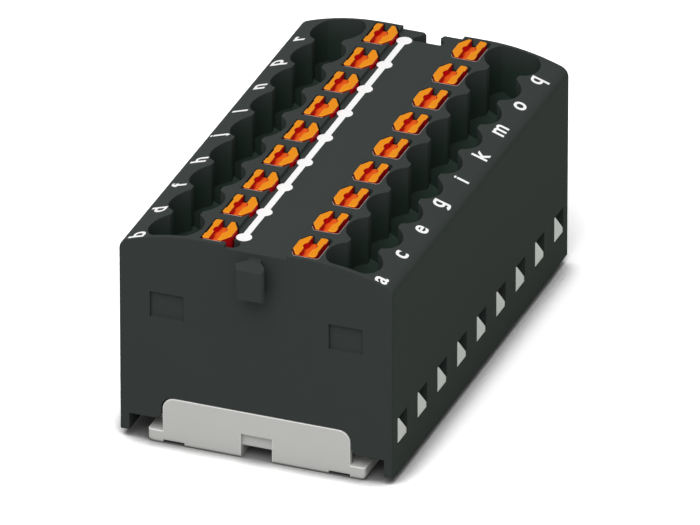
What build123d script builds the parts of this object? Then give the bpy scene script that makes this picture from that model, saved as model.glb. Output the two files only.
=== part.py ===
"""Push-in distribution block with two rows of nine poles on one common bar.

X runs across the two rows, Y along them, and Z up. The origin is the middle of
the face that the block stands on. All sizes are in millimetres.
"""
import os
from math import asin, degrees, radians, tan

from build123d import *

# Poles: every pole is one wire funnel, one push button and one clamp spring
pitch = 5.2
poles_per_row = 9
end_trim = 0.15

# Outer shape of the housing
body_width = 27.1
crown_z = 22.18
crown_flat_half = 5.3
shoulder_radius = 22.0
top_corner_radius = 1.1
end_edge_radius = 0.1
skirt_thickness = 0.9
skirt_z = 0.8
bottom_z = 2.55

# Marking channel along the middle of the top, with one index hole
channel_half_width = 3.1
channel_depth = 0.4
index_hole_radius = 0.75
index_hole_x = 2.75
index_hole_from_end = 1.1
index_hole_depth = 2.2

# Wire funnels: scalloped trough, cone and round entry
funnel_x = 8.8
funnel_radius = 2.65
throat_half_width = 1.45
trough_end_wall = 0.38
scallop_tip_radius = 0.3
trough_corner_radius = 0.6
entry_radius = 1.65
cone_foot_z = 15.86
cone_slope = 53.0
cone_top_radius = 3.35

# Push buttons
button_inner_x = 3.05
button_outer_x = 5.6
button_half_length = 1.87
button_inner_flat_half = 0.8
button_chamfer_x = 3.68
button_corner = 0.18
button_waist_half = 0.9
button_waist_depth = 0.1
button_proud = 0.08
button_edge = 0.08
button_clearance = 0.2
well_outer_gap = 0.4
button_travel = 1.6
shaft_end_gap = 0.26
slot_x = 4.45
slot_depth = 0.58
slot_hole_radius = 0.68
stem_half_length = 1.7
shoulder_x = 6.95
shoulder_height = 1.9
foot_inner_x = 5.5
stop_gap = 0.2

# Guide key that each button slides on
key_base_width = 0.66
key_tip_width = 0.46
key_reach = 0.24
key_ramp = 0.35
key_clearance = 0.1
key_tip_gap = 0.15

# Chambers under the funnels
chamber_inner_x = 2.7
chamber_outer_x = 10.8
chamber_half_length = 1.85
chamber_top_z = 13.5

# Windows in the side walls
window_half_length = 1.23
window_bottom_z = 3.75
window_height = 2.75

# Shallow pockets in the end faces
pocket_x = 8.86
pocket_width = 3.35
pocket_height = 2.65
pocket_bottom_z = 13.18
pocket_depth = 0.3

# Key tab on the near end and the slot for a neighbour's tab at the far end
tab_bottom_z = 17.7
tab_top_z = 21.3
tab_neck_half = 0.6
tab_neck_length = 0.4
tab_flare_length = 1.1
tab_head_half = 1.43
tab_head_length = 0.25
tab_front_half = 1.25
tab_chamfer_drop = 0.55
tab_chamfer_run = 0.3
tab_clearance = 0.18
slot_mouth_radius = 0.37

# Base cover: flange, raised floor and end tongues
flange_half_width = 10.8
flange_height = 1.3
flange_corner_radius = 0.3
flange_foot_radius = 0.45
floor_half_width = 10.4
floor_side_gap = 2.45
floor_end_half_width = 7.0
floor_end_gap = 1.25
floor_z = 2.9
floor_clearance = 0.2
tongue_half_width = 9.3
tongue_top_z = 4.85
tongue_thickness = 0.55
tongue_corner_radius = 1.15
tongue_clearance = 0.15
notch_mouth_radius = 0.65
pry_half_width = 1.55
pry_height = 2.5
pry_depth = 2.4
relief_inner_x = 7.15
relief_height = 0.4
relief_depth = 3.0

# Current bar, stamped and bent from one sheet
bar_thickness = 0.8
bar_half_width = 3.0
bar_bend_radius = 0.3
arm_half_length = 1.6
contact_x = 9.9
contact_top_z = 9.7
bar_clearance = 0.2
ear_clearance = 0.07
ear_setback = 0.05
ear_flat = 0.28
ear_web_drop = 0.9
ear_foot_height = 0.5
ear_bevel_run = 0.12
ear_bevel_height = 0.3

# Clamp springs, one bent strip each
spring_thickness = 0.35
spring_half_length = 1.5
spring_riser_x = 3.3
spring_loop_z = 9.4
spring_shoulder_x = 5.0
spring_tip_x = 9.6
spring_tip_z = 6.0
spring_foot_x = 9.2
spring_bend_radius = 0.8
spring_gap = 0.25

body_length = poles_per_row * pitch - 2 * end_trim
end_y = body_length / 2
side_x = body_width / 2
pole_ys = [(i - (poles_per_row - 1) / 2) * pitch for i in range(poles_per_row)]
sides = {"left": -1, "right": 1}

channel_z = crown_z - channel_depth
button_top_z = crown_z + button_proud
shaft_bottom_z = chamber_top_z + button_travel + shaft_end_gap
shaft_length = button_top_z - shaft_bottom_z
shoulder_z = chamber_top_z - stop_gap
shoulder_bottom_z = shoulder_z - shoulder_height
slot_width = key_base_width + 2 * key_clearance
chamber_end_y = pole_ys[-1] + chamber_half_length
end_wall = end_y - chamber_end_y
tab_reach = tab_neck_length + tab_flare_length + tab_head_length
bar_top_z = floor_z + bar_thickness
cone_top_z = cone_foot_z + (cone_top_radius - entry_radius) * tan(radians(cone_slope))
spring_slope = (spring_tip_z - spring_loop_z) / (spring_tip_x - spring_shoulder_x)
cut_margin = 1.0


def export(piece, name):
    """Label a finished piece and write it as its own file."""
    piece.part.label = name
    export_step(piece.part, f"parts/{name}.step")


def button_points(side, y, outer_x, waist=0):
    """Corners of a button seen from above, drawn in at its waist where one is given."""
    half = button_half_length
    points = [
        (button_inner_x, -button_inner_flat_half),
        (button_inner_x, button_inner_flat_half),
        (button_chamfer_x, half),
        (outer_x - button_corner, half),
        (outer_x, half - button_corner),
    ]
    if waist:
        points += [
            (outer_x, button_waist_half + waist),
            (outer_x - waist, button_waist_half),
            (outer_x - waist, -button_waist_half),
            (outer_x, -button_waist_half - waist),
        ]
    points += [
        (outer_x, button_corner - half),
        (outer_x - button_corner, -half),
        (button_chamfer_x, -half),
    ]
    return [(side * px, y + py) for px, py in points]


def make_trough_outline(side):
    """Row of merged round funnels with a straight throat through the cusps."""
    limit = end_y - trough_end_wall
    with BuildSketch() as outline:
        with Locations([(side * funnel_x, y) for y in pole_ys]):
            Circle(funnel_radius)
        with Locations((side * funnel_x, 0)):
            Rectangle(2 * throat_half_width, 2 * limit)
            Rectangle(4 * funnel_radius, 2 * limit, mode=Mode.INTERSECT)
        tips = outline.vertices().filter_by(lambda v: abs(v.Y) < limit - 0.01)
        fillet(tips, radius=scallop_tip_radius)
        corners = outline.vertices().filter_by(lambda v: abs(v.Y) > limit - 0.01)
        fillet(corners, radius=trough_corner_radius)
    return outline.sketch


def make_funnel_cutter(side):
    """Space of one row of funnels: cones that meet in ridges, under a straight trough."""
    outline = make_trough_outline(side)
    cone_height = cone_top_z - cone_foot_z
    with BuildPart() as cutter:
        with Locations([(side * funnel_x, y, cone_foot_z + cone_height / 2) for y in pole_ys]):
            Cone(entry_radius, cone_top_radius, cone_height)
        with BuildSketch(Plane.XY.offset(cone_foot_z)):
            add(outline)
        extrude(amount=cone_height, mode=Mode.INTERSECT)
        with BuildSketch(Plane.XY.offset(cone_top_z)):
            add(outline)
        extrude(amount=crown_z - cone_top_z + cut_margin)
        with BuildSketch(Plane.XY.offset(chamber_top_z - cut_margin)):
            with Locations([(side * funnel_x, y) for y in pole_ys]):
                Circle(entry_radius)
        extrude(amount=cone_foot_z - chamber_top_z + cut_margin)
    return cutter.part


def make_well_cutter(side):
    """Openings of one row of buttons, each with its tapered, ramped guide key left standing."""
    tip_y = button_half_length - key_reach
    base_y = button_half_length + button_clearance
    well_outer_x = button_outer_x + well_outer_gap - button_clearance
    with BuildPart() as cutter:
        with BuildSketch(Plane.XY.offset(chamber_top_z - cut_margin)):
            for y in pole_ys:
                Polygon(*button_points(side, y, well_outer_x), align=None)
            offset(amount=button_clearance, kind=Kind.INTERSECTION)
            for y in pole_ys:
                key = [
                    (side * slot_x - key_tip_width / 2, y + tip_y),
                    (side * slot_x + key_tip_width / 2, y + tip_y),
                    (side * slot_x + key_base_width / 2, y + base_y),
                    (side * slot_x - key_base_width / 2, y + base_y),
                ]
                Polygon(*key, align=None, mode=Mode.SUBTRACT)
        extrude(amount=crown_z - chamber_top_z + 2 * cut_margin)
        with BuildSketch(Plane.YZ.offset(side * slot_x)):
            for y in pole_ys:
                Polygon(
                    (y + tip_y, crown_z - key_ramp),
                    (y + tip_y + key_ramp, crown_z),
                    (y + tip_y + key_ramp, crown_z + cut_margin),
                    (y + tip_y, crown_z + cut_margin),
                    align=None,
                )
        extrude(amount=key_base_width / 2, both=True)
    return cutter.part


def make_body():
    """Outer body: arched section, skirts, rounded shoulders and rounded end rims."""
    shoulder_angle = degrees(asin((side_x - crown_flat_half) / shoulder_radius))
    with BuildPart() as body:
        with BuildSketch(Plane.XZ):
            with BuildLine():
                Line((0, crown_z), (crown_flat_half, crown_z))
                arch = CenterArc(
                    (crown_flat_half, crown_z - shoulder_radius),
                    shoulder_radius,
                    90,
                    -shoulder_angle,
                )
                Polyline(
                    arch @ 1,
                    (side_x, skirt_z),
                    (side_x - skirt_thickness, skirt_z),
                    (side_x - skirt_thickness, bottom_z),
                    (0, bottom_z),
                )
                mirror(about=Plane.YZ)
            make_face()
        extrude(amount=end_y, both=True)
        long_edges = body.edges().filter_by(Axis.Y).filter_by(lambda e: e.center().Z > bottom_z + 1)
        fillet(long_edges.group_by(Axis.X)[0] + long_edges.group_by(Axis.X)[-1], top_corner_radius)
        end_rims = body.faces().filter_by(Axis.Y).edges()
        fillet(end_rims.filter_by(lambda e: e.center().Z > bottom_z + 1), end_edge_radius)
    return body.part


def make_tongue_notch():
    """Face of the notch in an end wall: rounded above, with a rounded mouth below."""
    half = tongue_half_width + tongue_clearance
    top = tongue_top_z + tongue_clearance
    mouth = notch_mouth_radius
    with BuildSketch() as notch:
        with Locations((0, bottom_z - cut_margin)):
            Rectangle(2 * half, top - bottom_z + cut_margin, align=(Align.CENTER, Align.MIN))
            Rectangle(2 * (half + mouth), cut_margin, align=(Align.CENTER, Align.MIN))
        upper = notch.vertices().group_by(Axis.Y)[-1]
        fillet(upper, tongue_corner_radius + tongue_clearance)
        inner = notch.vertices().filter_by(lambda v: abs(v.Y - bottom_z) < 1e-6)
        fillet(inner.filter_by(lambda v: abs(v.X) < half + mouth / 2), 0.98 * mouth)
    return notch.sketch


def make_underside_cutter():
    """Space below: chambers, slot for the bar, seat of the cover and its end notches."""
    chamber_mid = (chamber_inner_x + chamber_outer_x) / 2
    foot_z = bottom_z - cut_margin
    notch = make_tongue_notch()
    with BuildPart() as cutter:
        with BuildSketch(Plane.XY.offset(foot_z)):
            with Locations([(side * chamber_mid, y) for side in sides.values() for y in pole_ys]):
                Rectangle(chamber_outer_x - chamber_inner_x, 2 * chamber_half_length)
        extrude(amount=chamber_top_z - foot_z)
        with BuildSketch(Plane.XY.offset(foot_z)):
            Rectangle(2 * (bar_half_width + bar_clearance), 2 * chamber_end_y)
        extrude(amount=bar_top_z + bar_clearance - foot_z)
        with BuildSketch(Plane.XY.offset(foot_z)):
            Rectangle(2 * (floor_half_width + floor_clearance), 2 * chamber_end_y)
        extrude(amount=floor_z - foot_z)
        for start_y in (-end_y - cut_margin, chamber_end_y):
            with BuildSketch(Plane.XZ.offset(-start_y)):
                add(notch)
            extrude(amount=-(end_wall + cut_margin))
    return cutter.part


def make_outside_cutter():
    """Space of the marking channel, the index hole, the windows and the end pockets."""
    wall = side_x - chamber_outer_x
    window_z = window_bottom_z + window_height / 2
    window_x = chamber_outer_x + wall / 2
    pocket_z = pocket_bottom_z + pocket_height / 2
    with BuildPart() as cutter:
        with Locations((0, 0, crown_z)):
            Box(2 * channel_half_width, body_length + cut_margin, 2 * channel_depth)
        with Locations((-index_hole_x, index_hole_from_end - end_y, channel_z)):
            Cylinder(index_hole_radius, 2 * index_hole_depth)
        with Locations([(s * window_x, y, window_z) for s in sides.values() for y in pole_ys]):
            Box(wall + cut_margin, 2 * window_half_length, window_height)
        with Locations([(s * pocket_x, e * end_y, pocket_z) for s in (-1, 1) for e in (-1, 1)]):
            Box(pocket_width, 2 * pocket_depth, pocket_height)
    return cutter.part


def make_tab_outline(wall_y):
    """Face of a key tab seen from above: a neck and a flare to a tapered head, towards -Y."""
    flare_y = wall_y - tab_neck_length
    head_y = flare_y - tab_flare_length
    half = [
        (tab_neck_half, wall_y + cut_margin),
        (tab_neck_half, flare_y),
        (tab_head_half, head_y),
        (tab_front_half, wall_y - tab_reach),
    ]
    with BuildSketch() as outline:
        Polygon(*half, *[(-x, y) for x, y in reversed(half)], align=None)
    return outline.sketch


def make_key_tab():
    """Key tab of the near end, with the top of its head sloping down to the front."""
    head_y = -end_y - tab_reach
    with BuildPart() as tab:
        with BuildSketch(Plane.XY.offset(tab_bottom_z)):
            add(make_tab_outline(-end_y))
        extrude(amount=tab_top_z - tab_bottom_z)
        with BuildSketch(Plane.YZ):
            Polygon(
                (end_edge_radius - end_y, tab_bottom_z),
                (end_edge_radius - end_y, tab_top_z),
                (head_y + tab_chamfer_run, tab_top_z),
                (head_y, tab_top_z - tab_chamfer_drop),
                (head_y, tab_bottom_z),
                align=None,
            )
        extrude(amount=tab_head_half, both=True, mode=Mode.INTERSECT)
    return tab.part


def make_tab_slot_cutter():
    """Space of the far end's slot, which takes a neighbour's key tab from above."""
    slot_foot_z = tab_bottom_z - tab_clearance
    neck_half = tab_neck_half + tab_clearance
    mouth = slot_mouth_radius
    with BuildPart() as cutter:
        with BuildSketch(Plane.XY.offset(slot_foot_z)):
            add(make_tab_outline(end_y))
            offset(amount=tab_clearance, kind=Kind.INTERSECTION)
        extrude(amount=crown_z - slot_foot_z + cut_margin)
        with BuildSketch(Plane.XZ.offset(-end_y - cut_margin)) as flare:
            with Locations((0, channel_z)):
                Rectangle(2 * neck_half, 2 * cut_margin)
                Rectangle(2 * (neck_half + mouth), cut_margin, align=(Align.CENTER, Align.MIN))
            corners = flare.vertices().filter_by(lambda v: abs(v.Y - channel_z) < 1e-6)
            fillet(corners.filter_by(lambda v: abs(v.X) < neck_half + mouth / 2), 0.98 * mouth)
        extrude(amount=tab_neck_length + cut_margin)
    return cutter.part


def make_housing():
    """One-piece moulded housing, open underneath."""
    with BuildPart() as housing:
        add(make_body())
        add(make_underside_cutter(), mode=Mode.SUBTRACT)
        add(make_outside_cutter(), mode=Mode.SUBTRACT)
        for side in sides.values():
            add(make_funnel_cutter(side), mode=Mode.SUBTRACT)
            add(make_well_cutter(side), mode=Mode.SUBTRACT)
        add(make_tab_slot_cutter(), mode=Mode.SUBTRACT)
        add(make_key_tab())
    return housing


def make_base_cover():
    """Lid that closes the housing underneath and that the block stands on."""
    with BuildPart() as cover:
        Box(
            2 * flange_half_width,
            body_length,
            flange_height,
            align=(Align.CENTER, Align.CENTER, Align.MIN),
        )
        fillet(cover.faces().sort_by(Axis.Z)[0].edges().filter_by(Axis.Y), flange_foot_radius)
        end_faces = cover.faces().filter_by(Axis.Y)
        fillet(end_faces.edges().filter_by(Axis.Z), flange_corner_radius)
        for half_width, end_gap in (
            (floor_half_width, floor_side_gap),
            (floor_end_half_width, floor_end_gap),
        ):
            Box(
                2 * half_width,
                body_length - 2 * end_gap,
                floor_z,
                align=(Align.CENTER, Align.CENTER, Align.MIN),
            )
        for start_y in (-end_y, end_y - tongue_thickness):
            with BuildSketch(Plane.XZ.offset(-start_y)) as tongue:
                with Locations((0, flange_height / 2)):
                    Rectangle(
                        2 * tongue_half_width,
                        tongue_top_z - flange_height / 2,
                        align=(Align.CENTER, Align.MIN),
                    )
                fillet(tongue.vertices().group_by(Axis.Y)[-1], tongue_corner_radius)
            extrude(amount=-tongue_thickness)
        for end in (-1, 1):
            with Locations((0, end * end_y, 0)):
                Box(2 * pry_half_width, 2 * pry_depth, 2 * pry_height, mode=Mode.SUBTRACT)
            relief_mid = (relief_inner_x + tongue_half_width) / 2
            with Locations([(s * relief_mid, end * end_y, 0) for s in sides.values()]):
                Box(
                    tongue_half_width - relief_inner_x,
                    2 * relief_depth,
                    2 * relief_height,
                    mode=Mode.SUBTRACT,
                )
    return cover


def make_current_bar():
    """Common bar: one strip along the block, a bent arm each side and an ear per pole."""
    outer_x = contact_x + bar_thickness
    ear_x = side_x - ear_setback
    ear_y = window_half_length - ear_clearance
    ear_z = window_bottom_z + ear_clearance
    ear_top = window_bottom_z + window_height - ear_clearance
    web_height = ear_top - ear_web_drop - ear_z
    web_y = ear_bevel_run - ear_y
    with BuildSketch() as inside:
        with Locations((0, bar_top_z)):
            Rectangle(2 * contact_x, contact_top_z, align=(Align.CENTER, Align.MIN))
        fillet(inside.vertices().group_by(Axis.Y)[0], bar_bend_radius)
    with BuildSketch() as section:
        with Locations((0, floor_z)):
            Rectangle(2 * outer_x, contact_top_z - floor_z, align=(Align.CENTER, Align.MIN))
        fillet(section.vertices().group_by(Axis.Y)[0], bar_bend_radius + bar_thickness)
        add(inside.sketch, mode=Mode.SUBTRACT)
    with BuildPart() as bar:
        for y in pole_ys:
            with BuildSketch(Plane.XZ.offset(-y)):
                add(section.sketch)
            extrude(amount=arm_half_length, both=True)
        with Locations((0, 0, floor_z)):
            Box(
                2 * bar_half_width,
                2 * (pole_ys[-1] + arm_half_length),
                bar_thickness,
                align=(Align.CENTER, Align.CENTER, Align.MIN),
            )
        for side in sides.values():
            plate_x = side * (ear_x - bar_thickness / 2)
            with BuildSketch(Plane.YZ.offset(plate_x)):
                for y in pole_ys:
                    Polygon(
                        (y + web_y, ear_z),
                        (y + ear_y, ear_z),
                        (y + ear_y, ear_z + ear_foot_height),
                        (y - ear_y + ear_flat, ear_top),
                        (y - ear_y, ear_top),
                        (y - ear_y, ear_z + ear_bevel_height),
                        align=None,
                    )
            extrude(amount=bar_thickness / 2, both=True)
            web_length = ear_x - contact_x
            web_x = side * (contact_x + web_length / 2)
            with Locations([(web_x, y + web_y, ear_z) for y in pole_ys]):
                Box(
                    web_length,
                    bar_thickness,
                    web_height,
                    align=(Align.CENTER, Align.MIN, Align.MIN),
                )
    return bar


def make_button(side, y):
    """Push button: keyed shaft with a screwdriver slot, and a foot over the spring."""
    leg_top = spring_loop_z + spring_thickness / 2 * (1 + spring_slope**2) ** 0.5 + spring_gap
    foot_inner_z = leg_top + spring_slope * (foot_inner_x - spring_shoulder_x)
    foot_outer_z = leg_top + spring_slope * (shoulder_x - spring_shoulder_x)
    notch_y = y + button_half_length - key_reach - key_tip_gap
    outline = button_points(side, y, button_outer_x, button_waist_depth)
    with BuildPart() as button:
        with BuildSketch(Plane.XY.offset(shaft_bottom_z)):
            Polygon(*outline, align=None)
        extrude(amount=shaft_length)
        chamfer(button.faces().sort_by(Axis.Z)[-1].edges(), button_edge)
        with BuildSketch(Plane.XY.offset(shoulder_z)):
            Polygon(*outline, align=None)
            with Locations((side * slot_x, y)):
                Rectangle(2 * button_outer_x, 2 * stem_half_length, mode=Mode.INTERSECT)
        extrude(amount=shaft_bottom_z - shoulder_z)
        with BuildSketch(Plane.XZ.offset(-y)):
            Polygon(
                (side * button_inner_x, shoulder_z),
                (side * shoulder_x, shoulder_z),
                (side * shoulder_x, foot_outer_z),
                (side * foot_inner_x, foot_inner_z),
                (side * foot_inner_x, shoulder_bottom_z),
                (side * button_inner_x, shoulder_bottom_z),
                align=None,
            )
        extrude(amount=stem_half_length, both=True)
        with Locations((side * slot_x, y, button_top_z)):
            Box(slot_width, 4 * button_half_length, 2 * slot_depth, mode=Mode.SUBTRACT)
            Cylinder(slot_hole_radius, 2 * slot_depth, mode=Mode.SUBTRACT)
        with Locations((side * slot_x, notch_y, shoulder_z)):
            Box(
                slot_width,
                2 * button_half_length,
                2 * shaft_length,
                align=(Align.CENTER, Align.MIN, Align.MIN),
                mode=Mode.SUBTRACT,
            )
    return button


def make_clamp_spring(side, y):
    """Clamp spring: a strip with a foot on the bar, a riser, a loop and a clamping leg."""
    foot_z = bar_top_z + spring_thickness / 2
    with BuildPart() as spring:
        with BuildSketch(Plane.XZ.offset(-y)):
            with BuildLine() as strip:
                FilletPolyline(
                    (side * spring_foot_x, foot_z),
                    (side * spring_riser_x, foot_z),
                    (side * spring_riser_x, spring_loop_z),
                    (side * spring_shoulder_x, spring_loop_z),
                    (side * spring_tip_x, spring_tip_z),
                    radius=spring_bend_radius,
                )
            trace(strip.line, line_width=spring_thickness)
        extrude(amount=spring_half_length, both=True)
    return spring


def main():
    """Build every piece and write it."""
    os.makedirs("parts", exist_ok=True)
    export(make_housing(), "housing")
    export(make_base_cover(), "base_cover")
    export(make_current_bar(), "current_bar")
    for row, side in sides.items():
        for number, y in enumerate(pole_ys, start=1):
            export(make_button(side, y), f"button_{row}_{number}")
            export(make_clamp_spring(side, y), f"clamp_spring_{row}_{number}")


if __name__ == "__main__":
    main()
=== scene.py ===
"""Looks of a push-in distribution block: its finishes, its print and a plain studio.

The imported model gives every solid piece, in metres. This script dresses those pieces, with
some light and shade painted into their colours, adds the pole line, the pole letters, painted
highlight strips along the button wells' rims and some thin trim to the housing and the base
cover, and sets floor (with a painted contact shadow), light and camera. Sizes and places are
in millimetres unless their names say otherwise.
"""
import logging
import math
from dataclasses import dataclass
from enum import Enum

import bpy
import numpy as np
from mathutils import Matrix, Vector
from mathutils.geometry import delaunay_2d_cdt


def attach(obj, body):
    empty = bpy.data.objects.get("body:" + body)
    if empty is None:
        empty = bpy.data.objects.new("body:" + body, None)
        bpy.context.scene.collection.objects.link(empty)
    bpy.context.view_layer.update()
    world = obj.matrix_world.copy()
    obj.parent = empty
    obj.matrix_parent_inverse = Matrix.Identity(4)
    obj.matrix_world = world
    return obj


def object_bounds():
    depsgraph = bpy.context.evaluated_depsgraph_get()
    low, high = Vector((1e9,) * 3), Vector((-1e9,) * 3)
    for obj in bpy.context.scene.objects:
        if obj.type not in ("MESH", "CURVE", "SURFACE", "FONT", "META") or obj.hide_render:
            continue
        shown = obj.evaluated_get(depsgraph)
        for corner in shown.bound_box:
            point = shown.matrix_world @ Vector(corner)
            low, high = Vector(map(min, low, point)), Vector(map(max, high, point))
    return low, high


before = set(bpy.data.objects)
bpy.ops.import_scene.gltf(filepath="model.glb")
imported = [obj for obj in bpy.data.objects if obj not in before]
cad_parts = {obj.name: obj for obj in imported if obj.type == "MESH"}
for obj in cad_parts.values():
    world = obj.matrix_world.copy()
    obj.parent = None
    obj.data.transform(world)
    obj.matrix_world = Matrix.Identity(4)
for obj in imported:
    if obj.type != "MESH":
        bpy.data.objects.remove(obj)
cad_low, cad_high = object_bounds()

log = logging.getLogger("distribution_block")

Tree = bpy.types.NodeTree
Socket = bpy.types.NodeSocket
Range = tuple[float, float]

MM = 0.001
POLES_PER_ROW = 9
PITCH_MM = 5.2
POLE_YS_MM = (np.arange(POLES_PER_ROW) - (POLES_PER_ROW - 1) / 2) * PITCH_MM
CROWN_Z_MM = 22.18
CROWN_FLAT_HALF_MM = 5.3
SHOULDER_RADIUS_MM = 22.0
CHANNEL_Z_MM = 21.78
FUNNEL_X_MM = 8.8
FUNNEL_REACH_MM = 2.75
TROUGH_END_MM = 22.95
FUNNEL_RIM_Z_MM = 21.4
FUNNEL_DEEP_Z_MM = 19.4
WELL_OUTER_X_MM = 6.0
WELL_HALF_LENGTH_MM = 2.07
LONG_WALL_X_MM = cad_high[0] / MM
END_WALL_Y_MM = cad_high[1] / MM
BUTTON_TOP_Z_MM = cad_high[2] / MM


def linear(hex_colour: str) -> tuple[float, float, float, float]:
    """Turn an sRGB hex colour into the linear colour that a shader socket takes.

    Args:
        hex_colour: Six hex digits, such as "F0920A".

    Returns:
        Linear red, green, blue and an alpha of 1.
    """
    srgb = np.array([int(hex_colour[i : i + 2], 16) / 255 for i in (0, 2, 4)])
    lin = np.where(srgb <= 0.04045, srgb / 12.92, ((srgb + 0.055) / 1.055) ** 2.4)
    return (*lin.tolist(), 1.0)


def add_node(
    tree: Tree,
    kind: str,
    settings: dict[str, object] | None = None,
    inputs: dict[object, object] | None = None,
) -> bpy.types.Node:
    """Add a node, set its properties, and fill or link its inputs.

    Args:
        tree: Node tree that takes the node.
        kind: Node type without its "ShaderNode" prefix.
        settings: Property names and values.
        inputs: Socket names or numbers, each with a value or an output socket to link.

    Returns:
        The new node.
    """
    node = tree.nodes.new("ShaderNode" + kind)
    for name, value in (settings or {}).items():
        setattr(node, name, value)
    for socket, value in (inputs or {}).items():
        if isinstance(value, Socket):
            tree.links.new(value, node.inputs[socket])
        else:
            node.inputs[socket].default_value = value
    return node


def calculate(tree: Tree, operation: str, *values: float | Socket) -> Socket:
    """Work out one value from others.

    Args:
        tree: Node tree that takes the node.
        operation: Blender's name of the operation.
        *values: Numbers or sockets.

    Returns:
        The result.
    """
    node = add_node(tree, "Math", {"operation": operation}, dict(enumerate(values)))
    return node.outputs[0]


def remap(
    tree: Tree,
    value: Socket,
    start: float = 0.0,
    end: float = 1.0,
    low: float = 0.0,
    high: float = 1.0,
    ease: str = "LINEAR",
) -> Socket:
    """Turn a value that goes from start to end into one that goes from low to high, clamped.

    Args:
        tree: Node tree that takes the node.
        value: The value.
        start: Where the result is low.
        end: Where the result is high.
        low: First result.
        high: Last result.
        ease: Blender's name of the way from low to high.

    Returns:
        The result.
    """
    inputs = dict(enumerate((value, start, end, low, high)))
    return add_node(tree, "MapRange", {"interpolation_type": ease}, inputs).outputs[0]


def blend(
    tree: Tree, share: Socket, first: Socket | tuple[float, ...], second: Socket | tuple[float, ...]
) -> Socket:
    """Blend two colours.

    Args:
        tree: Node tree that takes the node.
        share: Share of the second colour.
        first: The first colour.
        second: The second colour.

    Returns:
        The blended colour.
    """
    # A mix node holds sockets for every type of value; its colours are the numbers 6 and 7.
    node = add_node(tree, "Mix", {"data_type": "RGBA"}, {0: share, 6: first, 7: second})
    return node.outputs[2]


def noise(tree: Tree, place: Socket, size_mm: float, detail: float = 2.0) -> Socket:
    """Add even noise.

    Args:
        tree: Node tree that takes the node.
        place: Object coordinates.
        size_mm: Width of its largest patches.
        detail: How many finer layers it has.

    Returns:
        The noise, about 0 to 1.
    """
    inputs = {"Vector": place, "Scale": 1 / (size_mm * MM), "Detail": detail}
    return add_node(tree, "TexNoise", inputs=inputs).outputs["Fac"]


def rounded(tree: Tree, radius_mm: float, samples: int = 6) -> Socket:
    """Give the normal of a surface whose sharp edges are rounded.

    Args:
        tree: Node tree that takes the node.
        radius_mm: Radius of the edges.
        samples: Rays that look for edges.

    Returns:
        The normal.
    """
    edges = add_node(tree, "Bevel", {"samples": samples}, {"Radius": radius_mm * MM})
    return edges.outputs[0]


def relief(tree: Tree, height: Socket, strength: float, depth_mm: float, **others: Socket) -> Socket:
    """Turn a height into the normal of a rough surface.

    Args:
        tree: Node tree that takes the node.
        height: The height, 0 to 1.
        strength: Strength of the effect, 0 to 1.
        depth_mm: Depth of the roughness.
        **others: Normal, the normal under it.

    Returns:
        The normal.
    """
    inputs = {"Strength": strength, "Distance": depth_mm * MM, "Height": height, **others}
    return add_node(tree, "Bump", inputs=inputs).outputs[0]


def openness(tree: Tree, reach_mm: float, samples: int) -> Socket:
    """Find how open a place is, as the share of rays that nothing near it stops.

    Args:
        tree: Node tree that takes the node.
        reach_mm: How far the rays go.
        samples: How many rays there are.

    Returns:
        The share.
    """
    rays = add_node(tree, "AmbientOcclusion", {"samples": samples}, {"Distance": reach_mm * MM})
    return rays.outputs["AO"]


def new_material(name: str) -> tuple[bpy.types.Material, Tree, Socket]:
    """Make an empty node material.

    Args:
        name: Name of the material.

    Returns:
        The material, its node tree and the Object coordinates of the piece that wears it.
    """
    material = bpy.data.materials.new(name)
    material.use_nodes = True
    tree = material.node_tree
    tree.nodes.clear()
    coordinates = add_node(tree, "TexCoord").outputs["Object"]
    return material, tree, coordinates


def add_surface(tree: Tree, kind: str, inputs: dict[str, object]) -> None:
    """Add the shader of a surface and link it to the material's output.

    Args:
        tree: Node tree of the material.
        kind: Node type of the shader.
        inputs: Socket names with values or sockets.
    """
    shader = add_node(tree, kind, inputs=inputs)
    add_node(tree, "OutputMaterial", inputs={"Surface": shader.outputs[0]})


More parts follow.
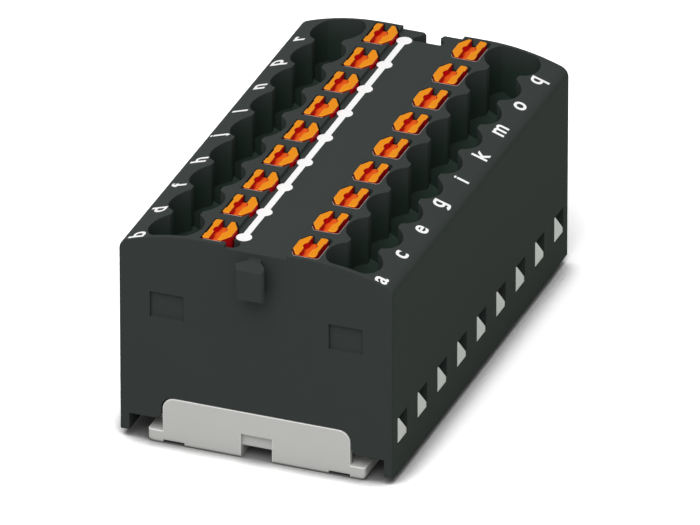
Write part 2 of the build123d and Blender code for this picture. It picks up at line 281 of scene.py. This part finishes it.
@dataclass(frozen=True)
class MouldedPolyamide:
    """Injection-moulded polyamide with a fine spark-eroded grain and softly rounded edges.

    The grain breaks the light up into a dull, even sheen, and the rounded edges catch
    a thin line of light. Three more colours can be laid over the first two, each where its
    mask says: painted shade on the funnels' walls, painted shade on the long walls and a
    painted highlight on the edges.
    """

    name: str
    colour: str
    mottle_colour: str
    roughness: float
    specular: float
    # Painted shade colour laid on the funnels' walls.
    funnel_shade_colour: str = ""
    # Painted shade colour laid on the long walls.
    wall_shade_colour: str = ""
    # Painted highlight colour laid on the edges.
    edge_highlight_colour: str = ""
    grain_mm: float = 0.16
    grain_depth_mm: float = 0.006
    grain_strength: float = 0.35
    mottle_mm: float = 6.0
    mottle_detail: float = 4.0
    edge_mm: float = 0.09
    edge_highlight_cosines: Range = (0.998, 0.88)
    roughness_spread: float = 0.06

    def funnel_shade_mask(self, tree: Tree, place: Socket) -> Socket:
        """Find the walls of the wire funnels, where painted shade makes them darker and greener.

        The mask is 1 where |x| is within a funnel's radius of the funnel row and |y| is
        short of the end walls, and it grows from 0 to 1 over the first depth.

        Args:
            tree: Node tree of the material.
            place: Object coordinates.

        Returns:
            The mask.
        """
        axes = add_node(tree, "SeparateXYZ", inputs={0: place}).outputs
        across = calculate(tree, "ABSOLUTE", axes["X"])
        along = calculate(tree, "ABSOLUTE", axes["Y"])
        in_row = calculate(tree, "COMPARE", across, FUNNEL_X_MM * MM, FUNNEL_REACH_MM * MM)
        in_ends = calculate(tree, "LESS_THAN", along, TROUGH_END_MM * MM)
        depth = remap(tree, axes["Z"], FUNNEL_RIM_Z_MM * MM, FUNNEL_DEEP_Z_MM * MM)
        return calculate(tree, "MULTIPLY", calculate(tree, "MULTIPLY", in_row, in_ends), depth)

    def wall_shade_mask(
        self, tree: Tree, place: Socket, start_mm: float = 0.2, full_mm: float = 0.05
    ) -> Socket:
        """Find the two long walls, where painted shade makes them a little darker and greener.

        Args:
            tree: Node tree of the material.
            place: Object coordinates.
            start_mm: Depth behind the wall's face where the mask starts.
            full_mm: Depth where it is 1.

        Returns:
            The mask.
        """
        axes = add_node(tree, "SeparateXYZ", inputs={0: place}).outputs
        across = calculate(tree, "ABSOLUTE", axes["X"])
        start = (LONG_WALL_X_MM - start_mm) * MM
        return remap(tree, across, start, (LONG_WALL_X_MM - full_mm) * MM)

    def edge_highlight_mask(self, tree: Tree, edges: Socket) -> Socket:
        """Find the edges for a painted highlight, where the rounded normal leans away from the
        normal of the face.

        The mask grows from 0 to 1 as the cosine between both normals falls.

        Args:
            tree: Node tree of the material.
            edges: The rounded normal.

        Returns:
            The mask.
        """
        flat = add_node(tree, "NewGeometry").outputs["True Normal"]
        lean = add_node(tree, "VectorMath", {"operation": "DOT_PRODUCT"}, {0: edges, 1: flat})
        return remap(tree, lean.outputs["Value"], *self.edge_highlight_cosines)

    def build(self) -> bpy.types.Material:
        """Build the material.

        Returns:
            The finished material.
        """
        material, tree, place = new_material(self.name)
        mottle = noise(tree, place, self.mottle_mm, self.mottle_detail)
        colour = blend(tree, mottle, linear(self.colour), linear(self.mottle_colour))
        # Painted shade: the funnels' walls turn darker and greener with depth.
        if self.funnel_shade_colour:
            colour = blend(tree, self.funnel_shade_mask(tree, place), colour, linear(self.funnel_shade_colour))
        # Painted shade: the long walls a little darker and greener.
        if self.wall_shade_colour:
            colour = blend(tree, self.wall_shade_mask(tree, place), colour, linear(self.wall_shade_colour))
        edges = rounded(tree, self.edge_mm)
        # Painted highlight: a lighter colour on the rounded edges.
        if self.edge_highlight_colour:
            colour = blend(tree, self.edge_highlight_mask(tree, edges), colour, linear(self.edge_highlight_colour))
        grain = noise(tree, place, self.grain_mm)
        smooth = self.roughness - self.roughness_spread
        rough = self.roughness + self.roughness_spread
        inputs = {
            "Base Color": colour,
            "Roughness": remap(tree, grain, low=smooth, high=rough),
            "Specular IOR Level": self.specular,
            "Normal": relief(tree, grain, self.grain_strength, self.grain_depth_mm, Normal=edges),
        }
        add_surface(tree, "BsdfPrincipled", inputs)
        return material


@dataclass(frozen=True)
class AmberPolyamide:
    """Amber polyamide of the push buttons, moulded smooth, its light and shade painted in.

    Faces that point up and stand open are amber, with a painted highlight, a little lighter, on
    their rounded rims. Down a wall, into the slot and into its corners the colour turns to
    painted shade, orange-red to deep red.
    """

    name: str
    top_colour: str
    # Painted highlight colour of the rims, and painted shade colours of the slot's floor and of the
    # walls.
    rim_highlight_colour: str
    floor_shade_colour: str
    wall_shade_colour: str
    top_z_mm: float
    slot_depth_mm: float
    rim_depth_mm: float = 0.1
    rim_highlight_share: float = 0.6
    rim_highlight_cosines: Range = (0.995, 0.93)
    upward_cosines: Range = (0.25, 0.85)
    shade_mm: float = 0.45
    shade_samples: int = 8
    shade_open: Range = (0.52, 0.8)
    roughness: float = 0.32
    specular: float = 0.05
    edge_mm: float = 0.06
    ripple_mm: float = 0.5
    ripple_depth_mm: float = 0.01
    ripple_strength: float = 0.2

    def build(self) -> bpy.types.Material:
        """Build the material.

        The height goes from 0 on the slot's floor to 1 at the top and blends the floor's painted
        shade into the top colour, the painted highlight's share grows as the rounded normal leans
        away from up, and the share of the lit colour over the painted wall shade falls with the
        lean of the surface and with what stands close to it.

        Returns:
            The finished material.
        """
        material, tree, place = new_material(self.name)
        position = add_node(tree, "SeparateXYZ", inputs={0: place}).outputs
        edges = rounded(tree, self.edge_mm)
        facing = add_node(tree, "SeparateXYZ", inputs={0: edges}).outputs
        floor_z = (self.top_z_mm - self.slot_depth_mm) * MM
        # Painted shade: the slot's floor redder and darker, blending into the top colour with
        # height.
        height = remap(tree, position["Z"], floor_z, (self.top_z_mm - self.rim_depth_mm) * MM)
        level = blend(tree, height, linear(self.floor_shade_colour), linear(self.top_colour))
        # Painted highlight: a lighter colour on the rounded rims.
        leaning = remap(tree, facing["Z"], *self.rim_highlight_cosines, high=self.rim_highlight_share)
        on_rim_highlight = calculate(tree, "MULTIPLY", leaning, height)
        highlighted = blend(tree, on_rim_highlight, level, linear(self.rim_highlight_colour))
        # Painted shade: deep red down the walls and where things stand close; the top colour only
        # where the face points up and stands open.
        upward = remap(tree, facing["Z"], *self.upward_cosines, ease="SMOOTHSTEP")
        sky = openness(tree, self.shade_mm, self.shade_samples)
        open_sky = remap(tree, sky, *self.shade_open)
        lit = calculate(tree, "MULTIPLY", upward, open_sky)
        ripple = noise(tree, place, self.ripple_mm)
        inputs = {
            "Base Color": blend(tree, lit, linear(self.wall_shade_colour), highlighted),
            "Roughness": self.roughness,
            "Specular IOR Level": self.specular,
            "Specular Tint": linear(self.top_colour),
            "Normal": relief(
                tree, ripple, self.ripple_strength, self.ripple_depth_mm, Normal=edges
            ),
        }
        add_surface(tree, "BsdfPrincipled", inputs)
        return material


@dataclass(frozen=True)
class SheetMetal:
    """Rolled sheet metal: fine streaks along the rolling direction in colour and roughness."""

    name: str
    colour: str
    streak_colour: str
    roughness: float
    roughness_spread: float = 0.08
    streak_mm: float = 0.12
    streak_length_mm: float = 3.0
    streak_detail: float = 3.0
    edge_mm: float = 0.06
    edge_samples: int = 4

    def build(self) -> bpy.types.Material:
        """Build the material.

        Returns:
            The finished material.
        """
        material, tree, place = new_material(self.name)
        fine = 1 / (self.streak_mm * MM)
        stretch = (fine, 1 / (self.streak_length_mm * MM), fine)
        mapped = add_node(tree, "Mapping", inputs={"Vector": place, "Scale": stretch}).outputs[0]
        pattern = {"Vector": mapped, "Scale": 1.0, "Detail": self.streak_detail}
        streaks = add_node(tree, "TexNoise", inputs=pattern).outputs["Fac"]
        smooth = self.roughness - self.roughness_spread
        rough = self.roughness + self.roughness_spread
        inputs = {
            "Base Color": blend(tree, streaks, linear(self.colour), linear(self.streak_colour)),
            "Metallic": 1.0,
            "Roughness": remap(tree, streaks, low=smooth, high=rough),
            "Normal": rounded(tree, self.edge_mm, self.edge_samples),
        }
        add_surface(tree, "BsdfPrincipled", inputs)
        return material


@dataclass(frozen=True)
class PrintInk:
    """Pad-printed white ink: matt, with slight pinholes from the grain under it."""

    name: str
    colour: str
    roughness: float = 0.6
    specular: float = 0.3
    grain_mm: float = 0.2
    grain_depth_mm: float = 0.004
    grain_strength: float = 0.1

    def build(self) -> bpy.types.Material:
        """Build the material.

        Returns:
            The finished material.
        """
        material, tree, place = new_material(self.name)
        grain = noise(tree, place, self.grain_mm)
        inputs = {
            "Base Color": linear(self.colour),
            "Roughness": self.roughness,
            "Specular IOR Level": self.specular,
            "Normal": relief(tree, grain, self.grain_strength, self.grain_depth_mm),
        }
        add_surface(tree, "BsdfPrincipled", inputs)
        return material


Finish = MouldedPolyamide | AmberPolyamide | SheetMetal | PrintInk


class Row(Enum):
    """A row of poles: the side of the block that it is on, as the sign of X."""

    LEFT = -1
    RIGHT = 1


def arch_z_mm(x_mm: np.ndarray) -> np.ndarray:
    """Height of the housing's top: flat in the middle, then an arc down to each side.

    Args:
        x_mm: Distances from the middle.

    Returns:
        Heights above the resting face.
    """
    run = np.maximum(np.abs(x_mm) - CROWN_FLAT_HALF_MM, 0.0)
    return CROWN_Z_MM - SHOULDER_RADIUS_MM + np.sqrt(SHOULDER_RADIUS_MM**2 - run**2)


def add_piece(
    name: str, points_mm: np.ndarray, faces: list[list[int]], material: bpy.types.Material
) -> bpy.types.Object:
    """Make a piece that rides on the block.

    Args:
        name: Name of the piece.
        points_mm: Its corners, of shape (corners, 3).
        faces: Its faces, as corner numbers.
        material: Its material.

    Returns:
        The piece.
    """
    mesh = bpy.data.meshes.new(name)
    mesh.from_pydata((points_mm * MM).tolist(), [], faces)
    mesh.validate()
    mesh.materials.append(material)
    piece = bpy.data.objects.new(name, mesh)
    bpy.context.scene.collection.objects.link(piece)
    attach(piece, "block")
    return piece


def add_tube(name: str, points_mm: np.ndarray, material: bpy.types.Material) -> bpy.types.Object:
    """Make a closed tube from a grid of points: round in the second index, capped in the first.

    Its faces point outwards if every section runs anticlockwise as seen from the last one's end.

    Args:
        name: Name of the piece.
        points_mm: Array of shape (sections, around, 3).
        material: Its material.

    Returns:
        The piece.
    """
    sections, around = points_mm.shape[:2]
    index = np.arange(sections * around).reshape(sections, around)
    turned = np.roll(index, -1, axis=1)
    quads = np.stack([index[:-1], turned[:-1], turned[1:], index[1:]], axis=-1).reshape(-1, 4)
    faces = quads.tolist() + [index[0, ::-1].tolist(), index[-1].tolist()]
    return add_piece(name, points_mm.reshape(-1, 3), faces, material)


def circle_turns(steps: int) -> np.ndarray:
    """Angles of evenly spaced points once round a circle, running backwards, in radians.

    Args:
        steps: How many points.

    Returns:
        The angles.
    """
    return np.linspace(0, -2 * math.pi, steps, endpoint=False)


def facing_up(plan: np.ndarray, triangles: np.ndarray) -> np.ndarray:
    """Turn flat triangles so that they face up, and drop those without an area.

    A triangle faces up where the cross product of two of its sides is above 0.

    Args:
        plan: Corner places, of shape (corners, 2).
        triangles: Corner numbers, of shape (triangles, 3).

    Returns:
        The triangles.
    """
    least_area = 1e-9
    sides = plan[triangles[:, 1:]] - plan[triangles[:, :1]]
    area = sides[:, 0, 0] * sides[:, 1, 1] - sides[:, 0, 1] * sides[:, 1, 0]
    turned = np.where(area[:, None] < 0, triangles[:, ::-1], triangles)
    return turned[np.abs(area) > least_area]


@dataclass
class PoleLine:
    """White line with a round dot for each pole, printed along the marking channel."""

    x_mm: float = -2.18
    dot_shift_mm: float = 0.2
    dot_radius_mm: float = 0.75
    line_half_mm: float = 0.325
    end_half_mm: float = 0.004
    film_mm: float = 0.02
    section_power: float = 0.4
    steps_per_dot: int = 33
    steps_across: int = 24

    def build(self, ink: bpy.types.Material) -> bpy.types.Object:
        """Build the print as one film.

        The film's half width follows a circle at each dot and stays at the line's own
        half width between the dots; its section is a flat super-ellipse, the cosine and the
        sine of a full turn raised to a small power.

        Args:
            ink: Material of the print.

        Returns:
            The printed piece.
        """
        turn = np.linspace(-math.pi / 2, math.pi / 2, self.steps_per_dot)
        y = POLE_YS_MM[:, None] + self.dot_shift_mm + self.dot_radius_mm * np.sin(turn)[None, :]
        circle = np.broadcast_to(self.dot_radius_mm * np.cos(turn), y.shape)
        half = np.maximum(circle, self.line_half_mm)
        outer = self.steps_per_dot // 2
        half[0, :outer] = circle[0, :outer]
        half[-1, -outer:] = circle[-1, -outer:]
        y = y.ravel()[:, None]
        half = np.maximum(half.ravel()[:, None], self.end_half_mm)
        around = circle_turns(self.steps_across)[None, :]
        across = np.sign(np.cos(around)) * np.abs(np.cos(around)) ** self.section_power
        rise = np.sign(np.sin(around)) * np.abs(np.sin(around)) ** self.section_power
        x = self.x_mm + half * across
        z = CHANNEL_Z_MM + self.film_mm * rise
        points = np.stack(np.broadcast_arrays(x, y, z), axis=-1)
        return add_tube("pole_line", points, ink)


@dataclass
class PoleLetters:
    """One small printed letter beside each wire funnel, reading from the near end.

    Letters are worked out in font units, where a line of text is 1 high.
    """

    row: Row
    letters: str
    middle_x_mm: float
    x_height_mm: float = 1.1
    width_ratio: float = 1.06
    ascender_ratio: float = 0.72
    shift_mm: float = -1.75
    film_mm: float = 0.02
    weight: float = 0.018
    curve_steps: int = 6
    plain_stem: float = 0.1
    hook_depth_ratio: float = 0.6
    hook_turn: float = -0.78 * math.pi
    hook_steps: int = 16
    join_gap: float = 1e-4

    def letter_plan(self, letter: str) -> tuple[np.ndarray, list[list[int]]]:
        """Turn one letter into flat triangles.

        Args:
            letter: The letter.

        Returns:
            Corner places, of shape (corners, 2), and triangles that face up.
        """
        curve = bpy.data.curves.new("letter", "FONT")
        curve.body = letter
        curve.offset = self.weight
        curve.resolution_u = self.curve_steps
        text = bpy.data.objects.new("letter", curve)
        mesh = bpy.data.meshes.new_from_object(text)
        mesh.calc_loop_triangles()
        corners = np.zeros(len(mesh.vertices) * 3)
        mesh.vertices.foreach_get("co", corners)
        triangles = np.zeros(len(mesh.loop_triangles) * 3, dtype=np.int32)
        mesh.loop_triangles.foreach_get("vertices", triangles)
        bpy.data.objects.remove(text)
        bpy.data.curves.remove(curve)
        bpy.data.meshes.remove(mesh)
        plan = corners.reshape(-1, 3)[:, :2]
        return plan, facing_up(plan, triangles.reshape(-1, 3)).tolist()

    def hook_a_stem(
        self, plan: np.ndarray, faces: list[list[int]]
    ) -> tuple[np.ndarray, list[list[int]]]:
        """Turn a q into a g of one storey: its stem is cut short and ends in a hook.

        The hook is a band between two ellipse arcs that start at the foot of the stem.

        Args:
            plan: Corner places of the q.
            faces: Its triangles.

        Returns:
            Corner places and faces with the hook.
        """
        low = plan.min(axis=0)
        high = plan.max(axis=0)
        stem = self.plain_stem + 2 * self.weight
        half_width = (high[0] - low[0] - stem) / 2
        depth = self.hook_depth_ratio * half_width
        foot_y = low[1] + depth
        cut = np.stack([plan[:, 0], np.maximum(plan[:, 1], foot_y)], axis=-1)
        turn = np.linspace(0, self.hook_turn, self.hook_steps)[:, None]
        reach = half_width + stem / 2 * np.array([[1, -1]])
        drop = depth + stem / 2 * np.array([[0, -2]])
        x = high[0] - stem / 2 - half_width + reach * np.cos(turn)
        y = foot_y + drop * np.sin(turn)
        hook = np.stack([x, y], axis=-1).reshape(-1, 2)
        first = len(plan) + 2 * np.arange(self.hook_steps - 1)[:, None]
        quads = first + np.array([[0, 1, 3, 2]])
        kept = facing_up(cut, np.array(faces)).tolist()
        return np.vstack([cut, hook]), kept + quads.tolist()

    def closed_film(
        self, plan: np.ndarray, faces: list[list[int]]
    ) -> tuple[np.ndarray, np.ndarray, list[list[int]]]:
        """Join the flat faces of a letter, which may overlap, into one closed film.

        The joined plan is the film's top and, turned over, its bottom. Walls stand on the
        plan's rim, which is made of the edges that only one triangle uses.

        Args:
            plan: Corner places, of shape (corners, 2).
            faces: The flat faces.

        Returns:
            Corner places seen from above, the side of each corner (1 on top, -1 below), and
            faces that point outwards.
        """
        inside_only = 1
        joined = delaunay_2d_cdt(plan.tolist(), [], faces, inside_only, self.join_gap)
        places, _, triangles, _, _, sources = joined
        corners = np.array(places)
        top = np.array(triangles)[np.array(list(map(bool, sources)))]
        edges = top[:, [[0, 1], [1, 2], [2, 0]]].reshape(-1, 2)
        _, first, uses = np.unique(
            np.sort(edges, axis=1), axis=0, return_index=True, return_counts=True
        )
        rim = edges[first[uses == 1]]
        count = len(corners)
        walls = np.concatenate([rim[:, ::-1], rim + count], axis=1)
        bottom = top[:, ::-1] + count
        side = np.repeat([1.0, -1.0], count)
        return np.vstack([corners, corners]), side, top.tolist() + bottom.tolist() + walls.tolist()

    def build(self, ink: bpy.types.Material) -> list[bpy.types.Object]:
        """Build the letters of the row, laid on the arch of the top.

        Args:
            ink: Material of the print.

        Returns:
            The printed letters.
        """
        x_plan, _ = self.letter_plan("x")
        x_height = x_plan[:, 1].max()
        scale = self.x_height_mm / x_height
        pieces = []
        for letter, pole_y in zip(self.letters, POLE_YS_MM):
            if letter == "g":
                plan, faces = self.hook_a_stem(*self.letter_plan("q"))
            else:
                plan, faces = self.letter_plan(letter)
            plan, side, faces = self.closed_film(plan, faces)
            above = np.maximum(plan[:, 1] - x_height, 0)
            rise = plan[:, 1] - (1 - self.ascender_ratio) * above
            rise -= (rise.min() + rise.max()) / 2
            run = plan[:, 0] - (plan[:, 0].min() + plan[:, 0].max()) / 2
            x = self.middle_x_mm - rise * scale
            y = pole_y + self.shift_mm + run * scale * self.width_ratio
            z = arch_z_mm(x) + side * self.film_mm
            pieces.append(add_piece(f"print_{letter}", np.stack([x, y, z], axis=-1), faces, ink))
        return pieces


@dataclass
class WellRimHighlights:
    """Thin light strip on the near rim of each button well: a painted highlight.

    In the right row it also runs round both near corners and along the outer rim. In the
    left row it starts a little inside the outer corner.
    """

    half_mm: float = 0.03
    rise_mm: float = 0.03
    steps_around: int = 8
    inner_x_mm: float = 2.85
    flat_half_mm: float = 0.84
    chamfer_x_mm: float = 3.55
    corner_mm: float = 0.2
    left_gap_mm: float = 0.45
    outer_share: float = 0.35

    def path_mm(self, row: Row) -> np.ndarray:
        """Corners of the strip seen from above, with x measured outwards and the pole at y 0.

        Args:
            row: Row of the pole.

        Returns:
            Array of shape (corners, 2).
        """
        end = WELL_HALF_LENGTH_MM
        outer = WELL_OUTER_X_MM
        inner_end = (self.chamfer_x_mm, -end)
        if row is Row.LEFT:
            return np.array([(outer - self.corner_mm - self.left_gap_mm, -end), inner_end])
        beside = [(outer, self.outer_share * end), (outer, self.corner_mm - end)]
        chamfer_middle = (
            (self.inner_x_mm + self.chamfer_x_mm) / 2,
            -(self.flat_half_mm + end) / 2,
        )
        return np.array([*beside, (outer - self.corner_mm, -end), inner_end, chamfer_middle])

    def build(self, finish: bpy.types.Material) -> list[bpy.types.Object]:
        """Build the highlight strips of all wells: an ellipse carried along the path, with mitred
        corners.

        A mitre is the sum of the normals before and after a corner, over one more than
        their product.

        Args:
            finish: Material of the highlight strips.

        Returns:
            The highlight strips.
        """
        turn = circle_turns(self.steps_around)
        out = self.half_mm * np.cos(turn)
        z_offset = self.rise_mm * np.sin(turn)
        pieces = []
        for row in Row:
            path = self.path_mm(row)
            ahead = np.diff(path, axis=0)
            ahead /= np.linalg.norm(ahead, axis=1)[:, None]
            normals = np.stack([ahead[:, 1], -ahead[:, 0]], axis=-1)
            before = np.vstack([normals[:1], normals])
            after = np.vstack([normals, normals[-1:]])
            mitre = (before + after) / (1 + np.sum(before * after, axis=1))[:, None]
            plan = path[:, None, :] + mitre[:, None, :] * out[None, :, None]
            x = row.value * plan[..., 0]
            z = arch_z_mm(x) + z_offset[None, :]
            for number, pole_y in enumerate(POLE_YS_MM, start=1):
                points = np.stack([x, pole_y + plan[..., 1], z], axis=-1)
                name = f"well_rim_highlight_{row.name.lower()}_{number}"
                pieces.append(add_tube(name, points[:: row.value], finish))
        return pieces


@dataclass
class WellLips:
    """Lip along the outer side of each button well in the left row, close to the button.

    The wells of both rows are cut alike, but the photograph shows less of a gap here.
    """

    width_mm: float = 0.28
    overlap_mm: float = 0.03
    end_gap_mm: float = 0.01
    depth_mm: float = 0.5
    under_mm: float = 0.003

    def build(self, finish: bpy.types.Material) -> list[bpy.types.Object]:
        """Build the lips: a four-sided section under the arch, carried along the well.

        Args:
            finish: Material of the lips.

        Returns:
            The lips.
        """
        inner_x = WELL_OUTER_X_MM - self.width_mm
        outer_x = WELL_OUTER_X_MM + self.overlap_mm
        half_length = WELL_HALF_LENGTH_MM - self.end_gap_mm
        x = -np.array([inner_x, inner_x, outer_x, outer_x])
        drop = np.array([self.depth_mm, self.under_mm, self.under_mm, self.depth_mm])
        section = np.stack([x, np.zeros_like(x), arch_z_mm(x) - drop], axis=-1)
        ends = np.array([[0.0, half_length, 0.0], [0.0, -half_length, 0.0]])
        pieces = []
        for number, pole_y in enumerate(POLE_YS_MM, start=1):
            points = section[None, :, :] + ends[:, None, :] + np.array([0.0, pole_y, 0.0])
            pieces.append(add_tube(f"well_lip_left_{number}", points, finish))
        return pieces


@dataclass
class PryStops:
    """Wall inside the pry notch at each end of the base cover, open below for the blade."""

    half_width_mm: float = 1.56
    low_z_mm: float = 1.2
    high_z_mm: float = 2.51
    recess_mm: float = 0.42
    thickness_mm: float = 0.53

    def build(self, finish: bpy.types.Material) -> list[bpy.types.Object]:
        """Build both walls: an upright rectangle carried through the wall's thickness.

        Args:
            finish: Material of the walls.

        Returns:
            The walls.
        """
        x = np.array([-1, 1, 1, -1]) * self.half_width_mm
        z = np.array([self.low_z_mm, self.low_z_mm, self.high_z_mm, self.high_z_mm])
        front_y = END_WALL_Y_MM - self.recess_mm
        back_y = front_y - self.thickness_mm
        depths = {"near": (-back_y, -front_y), "far": (front_y, back_y)}
        pieces = []
        for end, depth in depths.items():
            y = np.array(depth)[:, None]
            points = np.stack(np.broadcast_arrays(x[None, :], y, z[None, :]), axis=-1)
            pieces.append(add_tube(f"pry_stop_{end}", points, finish))
        return pieces


class Block:
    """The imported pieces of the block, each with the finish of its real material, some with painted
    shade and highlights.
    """

    finishes: dict[str, Finish] = {
        "housing": MouldedPolyamide(
            name="dark_grey_polyamide",
            colour="383D3B",
            mottle_colour="3A3F3D",
            roughness=0.7,
            specular=0.05,
            # painted shade colour of the funnels' walls
            funnel_shade_colour="2C3A33",
            # painted shade colour of the long walls
            wall_shade_colour="323934",
        ),
        "base_cover": MouldedPolyamide(
            name="light_grey_polyamide",
            colour="C8C8C5",
            mottle_colour="CBCBC8",
            roughness=0.45,
            specular=0.25,
            # painted highlight colour on the rounded edges
            edge_highlight_colour="FFFFFD",
            grain_depth_mm=0.003,
            edge_mm=0.2,
        ),
        "button_": AmberPolyamide(
            name="amber_polyamide",
            top_colour="EE8F00",
            # painted highlight on the rims, painted shade on the slot's floor and on the walls
            rim_highlight_colour="FFBE3C",
            floor_shade_colour="F0641A",
            wall_shade_colour="C4101A",
            top_z_mm=BUTTON_TOP_Z_MM,
            slot_depth_mm=0.58,
        ),
        "current_bar": SheetMetal(
            name="tinned_copper_sheet",
            colour="BCC0BB",
            streak_colour="CBCEC9",
            roughness=0.5,
        ),
        "clamp_spring_": SheetMetal(
            name="rolled_spring_steel",
            colour="A9A69F",
            streak_colour="BBB9B3",
            roughness=0.35,
        ),
    }

    def dress(self, material: bpy.types.Material, prefix: str) -> int:
        """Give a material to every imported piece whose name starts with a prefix.

        Args:
            material: The finish.
            prefix: Start of the pieces' names.

        Returns:
            How many pieces were dressed.
        """
        pieces = [piece for name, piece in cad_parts.items() if name.startswith(prefix)]
        for piece in pieces:
            for slot in piece.material_slots:
                slot.material = material
        return len(pieces)

    def build(self) -> dict[str, bpy.types.Material]:
        """Dress the housing, the base cover, the buttons, the bar and the springs.

        Returns:
            The materials, each under the start of its pieces' names.
        """
        materials = {prefix: finish.build() for prefix, finish in self.finishes.items()}
        for prefix, material in materials.items():
            log.info("%s on %d piece(s)", material.name, self.dress(material, prefix))
        return materials


class Trim:
    """What is printed on the block, the painted rim highlights and the thin trim that the solids
    leave out.
    """

    ink: PrintInk = PrintInk(name="white_print_ink", colour="FFFFFF")
    # Painted highlight: a light colour for the strips along the wells' rims.
    rim_highlight_finish: MouldedPolyamide = MouldedPolyamide(
        name="painted_rim_highlight",
        colour="9C918D",
        mottle_colour="9C918D",
        roughness=0.4,
        specular=0.4,
        grain_depth_mm=0.0005,
        edge_mm=0.01,
    )
    rows: tuple[PoleLetters, ...] = (
        PoleLetters(Row.RIGHT, "acegikmoq", middle_x_mm=12.15),
        PoleLetters(Row.LEFT, "bdfhjlnpr", middle_x_mm=-11.95),
    )

    def build(self, materials: dict[str, bpy.types.Material]) -> None:
        """Build the print, the painted rim highlights and the trim.

        Args:
            materials: Materials of the block, under the start of its pieces' names.
        """
        ink = self.ink.build()
        log.info("%s printed", PoleLine().build(ink).name)
        # Painted highlights: light strips along the button wells' rims.
        rim_highlights = WellRimHighlights().build(self.rim_highlight_finish.build())
        log.info("%d beads round the button wells", len(rim_highlights))
        lips = WellLips().build(materials["housing"])
        log.info("%d lips in the button wells", len(lips))
        stops = PryStops().build(materials["base_cover"])
        log.info("%d walls in the pry notches", len(stops))
        for row in self.rows:
            count = len(row.build(ink))
            log.info("%d letters printed in the %s row", count, row.row.name.lower())


@dataclass(frozen=True)
class Lamp:
    """Square soft lamp that faces the block."""

    name: str
    place_mm: tuple[float, float, float]
    watts: float
    side_m: float = 0.6

    def build(self) -> None:
        """Build the lamp."""
        data = bpy.data.lights.new(self.name, "AREA")
        data.size = self.side_m
        data.energy = self.watts
        lamp = bpy.data.objects.new(self.name, data)
        lamp.location = Vector(self.place_mm) * MM
        lamp.rotation_euler = (-lamp.location).to_track_quat("-Z", "Y").to_euler()
        bpy.context.scene.collection.objects.link(lamp)


@dataclass
class Studio:
    """White floor, soft light and the camera of the photograph."""

    camera_mm: tuple[float, float, float] = (484.279, -1263.276, 746.221)
    azimuth_deg: float = 20.959
    elevation_deg: float = 28.584
    lens_mm: float = 846.8
    sensor_mm: float = 36.0
    near_m: float = 0.05
    far_m: float = 50.0
    floor_half_m: float = 6.0
    floor_albedo: float = 0.5
    floor_glossy_lift: float = 0.5
    floor_camera_lift: float = 1.1
    # Painted contact shadow on the floor: reach, rays, open range and darkest share.
    contact_mm: float = 4.0
    contact_samples: int = 12
    contact_open: Range = (0.45, 0.85)
    contact_dark: float = 0.12
    sky_light: float = 0.4
    lamps: tuple[Lamp, ...] = (
        Lamp("key_lamp", (30, -400, 672), 3.79),
        Lamp("front_lamp", (-120, -680, 400), 0.755),
        Lamp("fill_lamp", (400, -160, 672), 0.38),
    )

    def add_camera(self) -> None:
        """Place the camera on the fitted line of sight, upright."""
        azimuth = math.radians(self.azimuth_deg)
        elevation = math.radians(self.elevation_deg)
        flat = math.cos(elevation)
        back = Vector((math.sin(azimuth) * flat, -math.cos(azimuth) * flat, math.sin(elevation)))
        right = Vector((math.cos(azimuth), math.sin(azimuth), 0))
        up = back.cross(right)
        data = bpy.data.cameras.new("camera")
        data.lens = self.lens_mm
        data.sensor_width = self.sensor_mm
        data.clip_start = self.near_m
        data.clip_end = self.far_m
        camera = bpy.data.objects.new("camera", data)
        turn = Matrix((right, up, back)).transposed().to_4x4()
        camera.matrix_world = Matrix.Translation(Vector(self.camera_mm) * MM) @ turn
        bpy.context.scene.collection.objects.link(camera)
        bpy.context.scene.camera = camera

    def floor_material(self) -> bpy.types.Material:
        """Build the floor's material: lifted for the camera, with painted shadow where the block
        stands.

        Returns:
            The finished material.
        """
        material, tree, _ = new_material("white_floor")
        path = add_node(tree, "LightPath").outputs
        glossy = calculate(
            tree, "MULTIPLY_ADD", path["Is Glossy Ray"], self.floor_glossy_lift, self.floor_albedo
        )
        seen = calculate(
            tree, "MULTIPLY_ADD", path["Is Camera Ray"], self.floor_camera_lift, glossy
        )
        # Painted shadow: the floor darkens where the block stops nearby rays, on top of the rendered
        # shadow.
        sky = openness(tree, self.contact_mm, self.contact_samples)
        contact = remap(tree, sky, *self.contact_open, low=self.contact_dark, ease="SMOOTHSTEP")
        shade = calculate(tree, "MULTIPLY", seen, contact)
        add_surface(tree, "BsdfDiffuse", {"Color": shade})
        return material

    def add_floor(self) -> None:
        """Lay a pale floor that reads as white, with rendered and painted shadow close to the block.
        """
        half = self.floor_half_m
        mesh = bpy.data.meshes.new("floor")
        corners = [(-half, -half, 0), (half, -half, 0), (half, half, 0), (-half, half, 0)]
        mesh.from_pydata(corners, [], [(0, 1, 2, 3)])
        floor = bpy.data.objects.new("floor", mesh)
        bpy.context.scene.collection.objects.link(floor)
        mesh.materials.append(self.floor_material())

    def add_world(self) -> None:
        """Set an even soft light all round, which the camera sees as white."""
        world = bpy.data.worlds.new("studio")
        world.use_nodes = True
        bpy.context.scene.world = world
        tree = world.node_tree
        tree.nodes.clear()
        path = add_node(tree, "LightPath").outputs
        seen = calculate(tree, "MAXIMUM", path["Is Camera Ray"], path["Is Glossy Ray"])
        strength = remap(tree, seen, low=self.sky_light)
        light = add_node(tree, "Background", inputs={"Color": (1, 1, 1, 1), "Strength": strength})
        add_node(tree, "OutputWorld", inputs={"Surface": light.outputs[0]})

    def build(self) -> None:
        """Build the whole studio."""
        self.add_camera()
        self.add_floor()
        self.add_world()
        for lamp in self.lamps:
            lamp.build()
        bpy.context.scene.view_settings.view_transform = "Standard"


def main() -> None:
    """Dress the block, add its print, painted rim highlights and trim, and set up the studio."""
    materials = Block().build()
    Trim().build(materials)
    Studio().build()


if __name__ == "__main__":
    logging.basicConfig(level=logging.INFO, format="%(name)s: %(message)s")
    main()
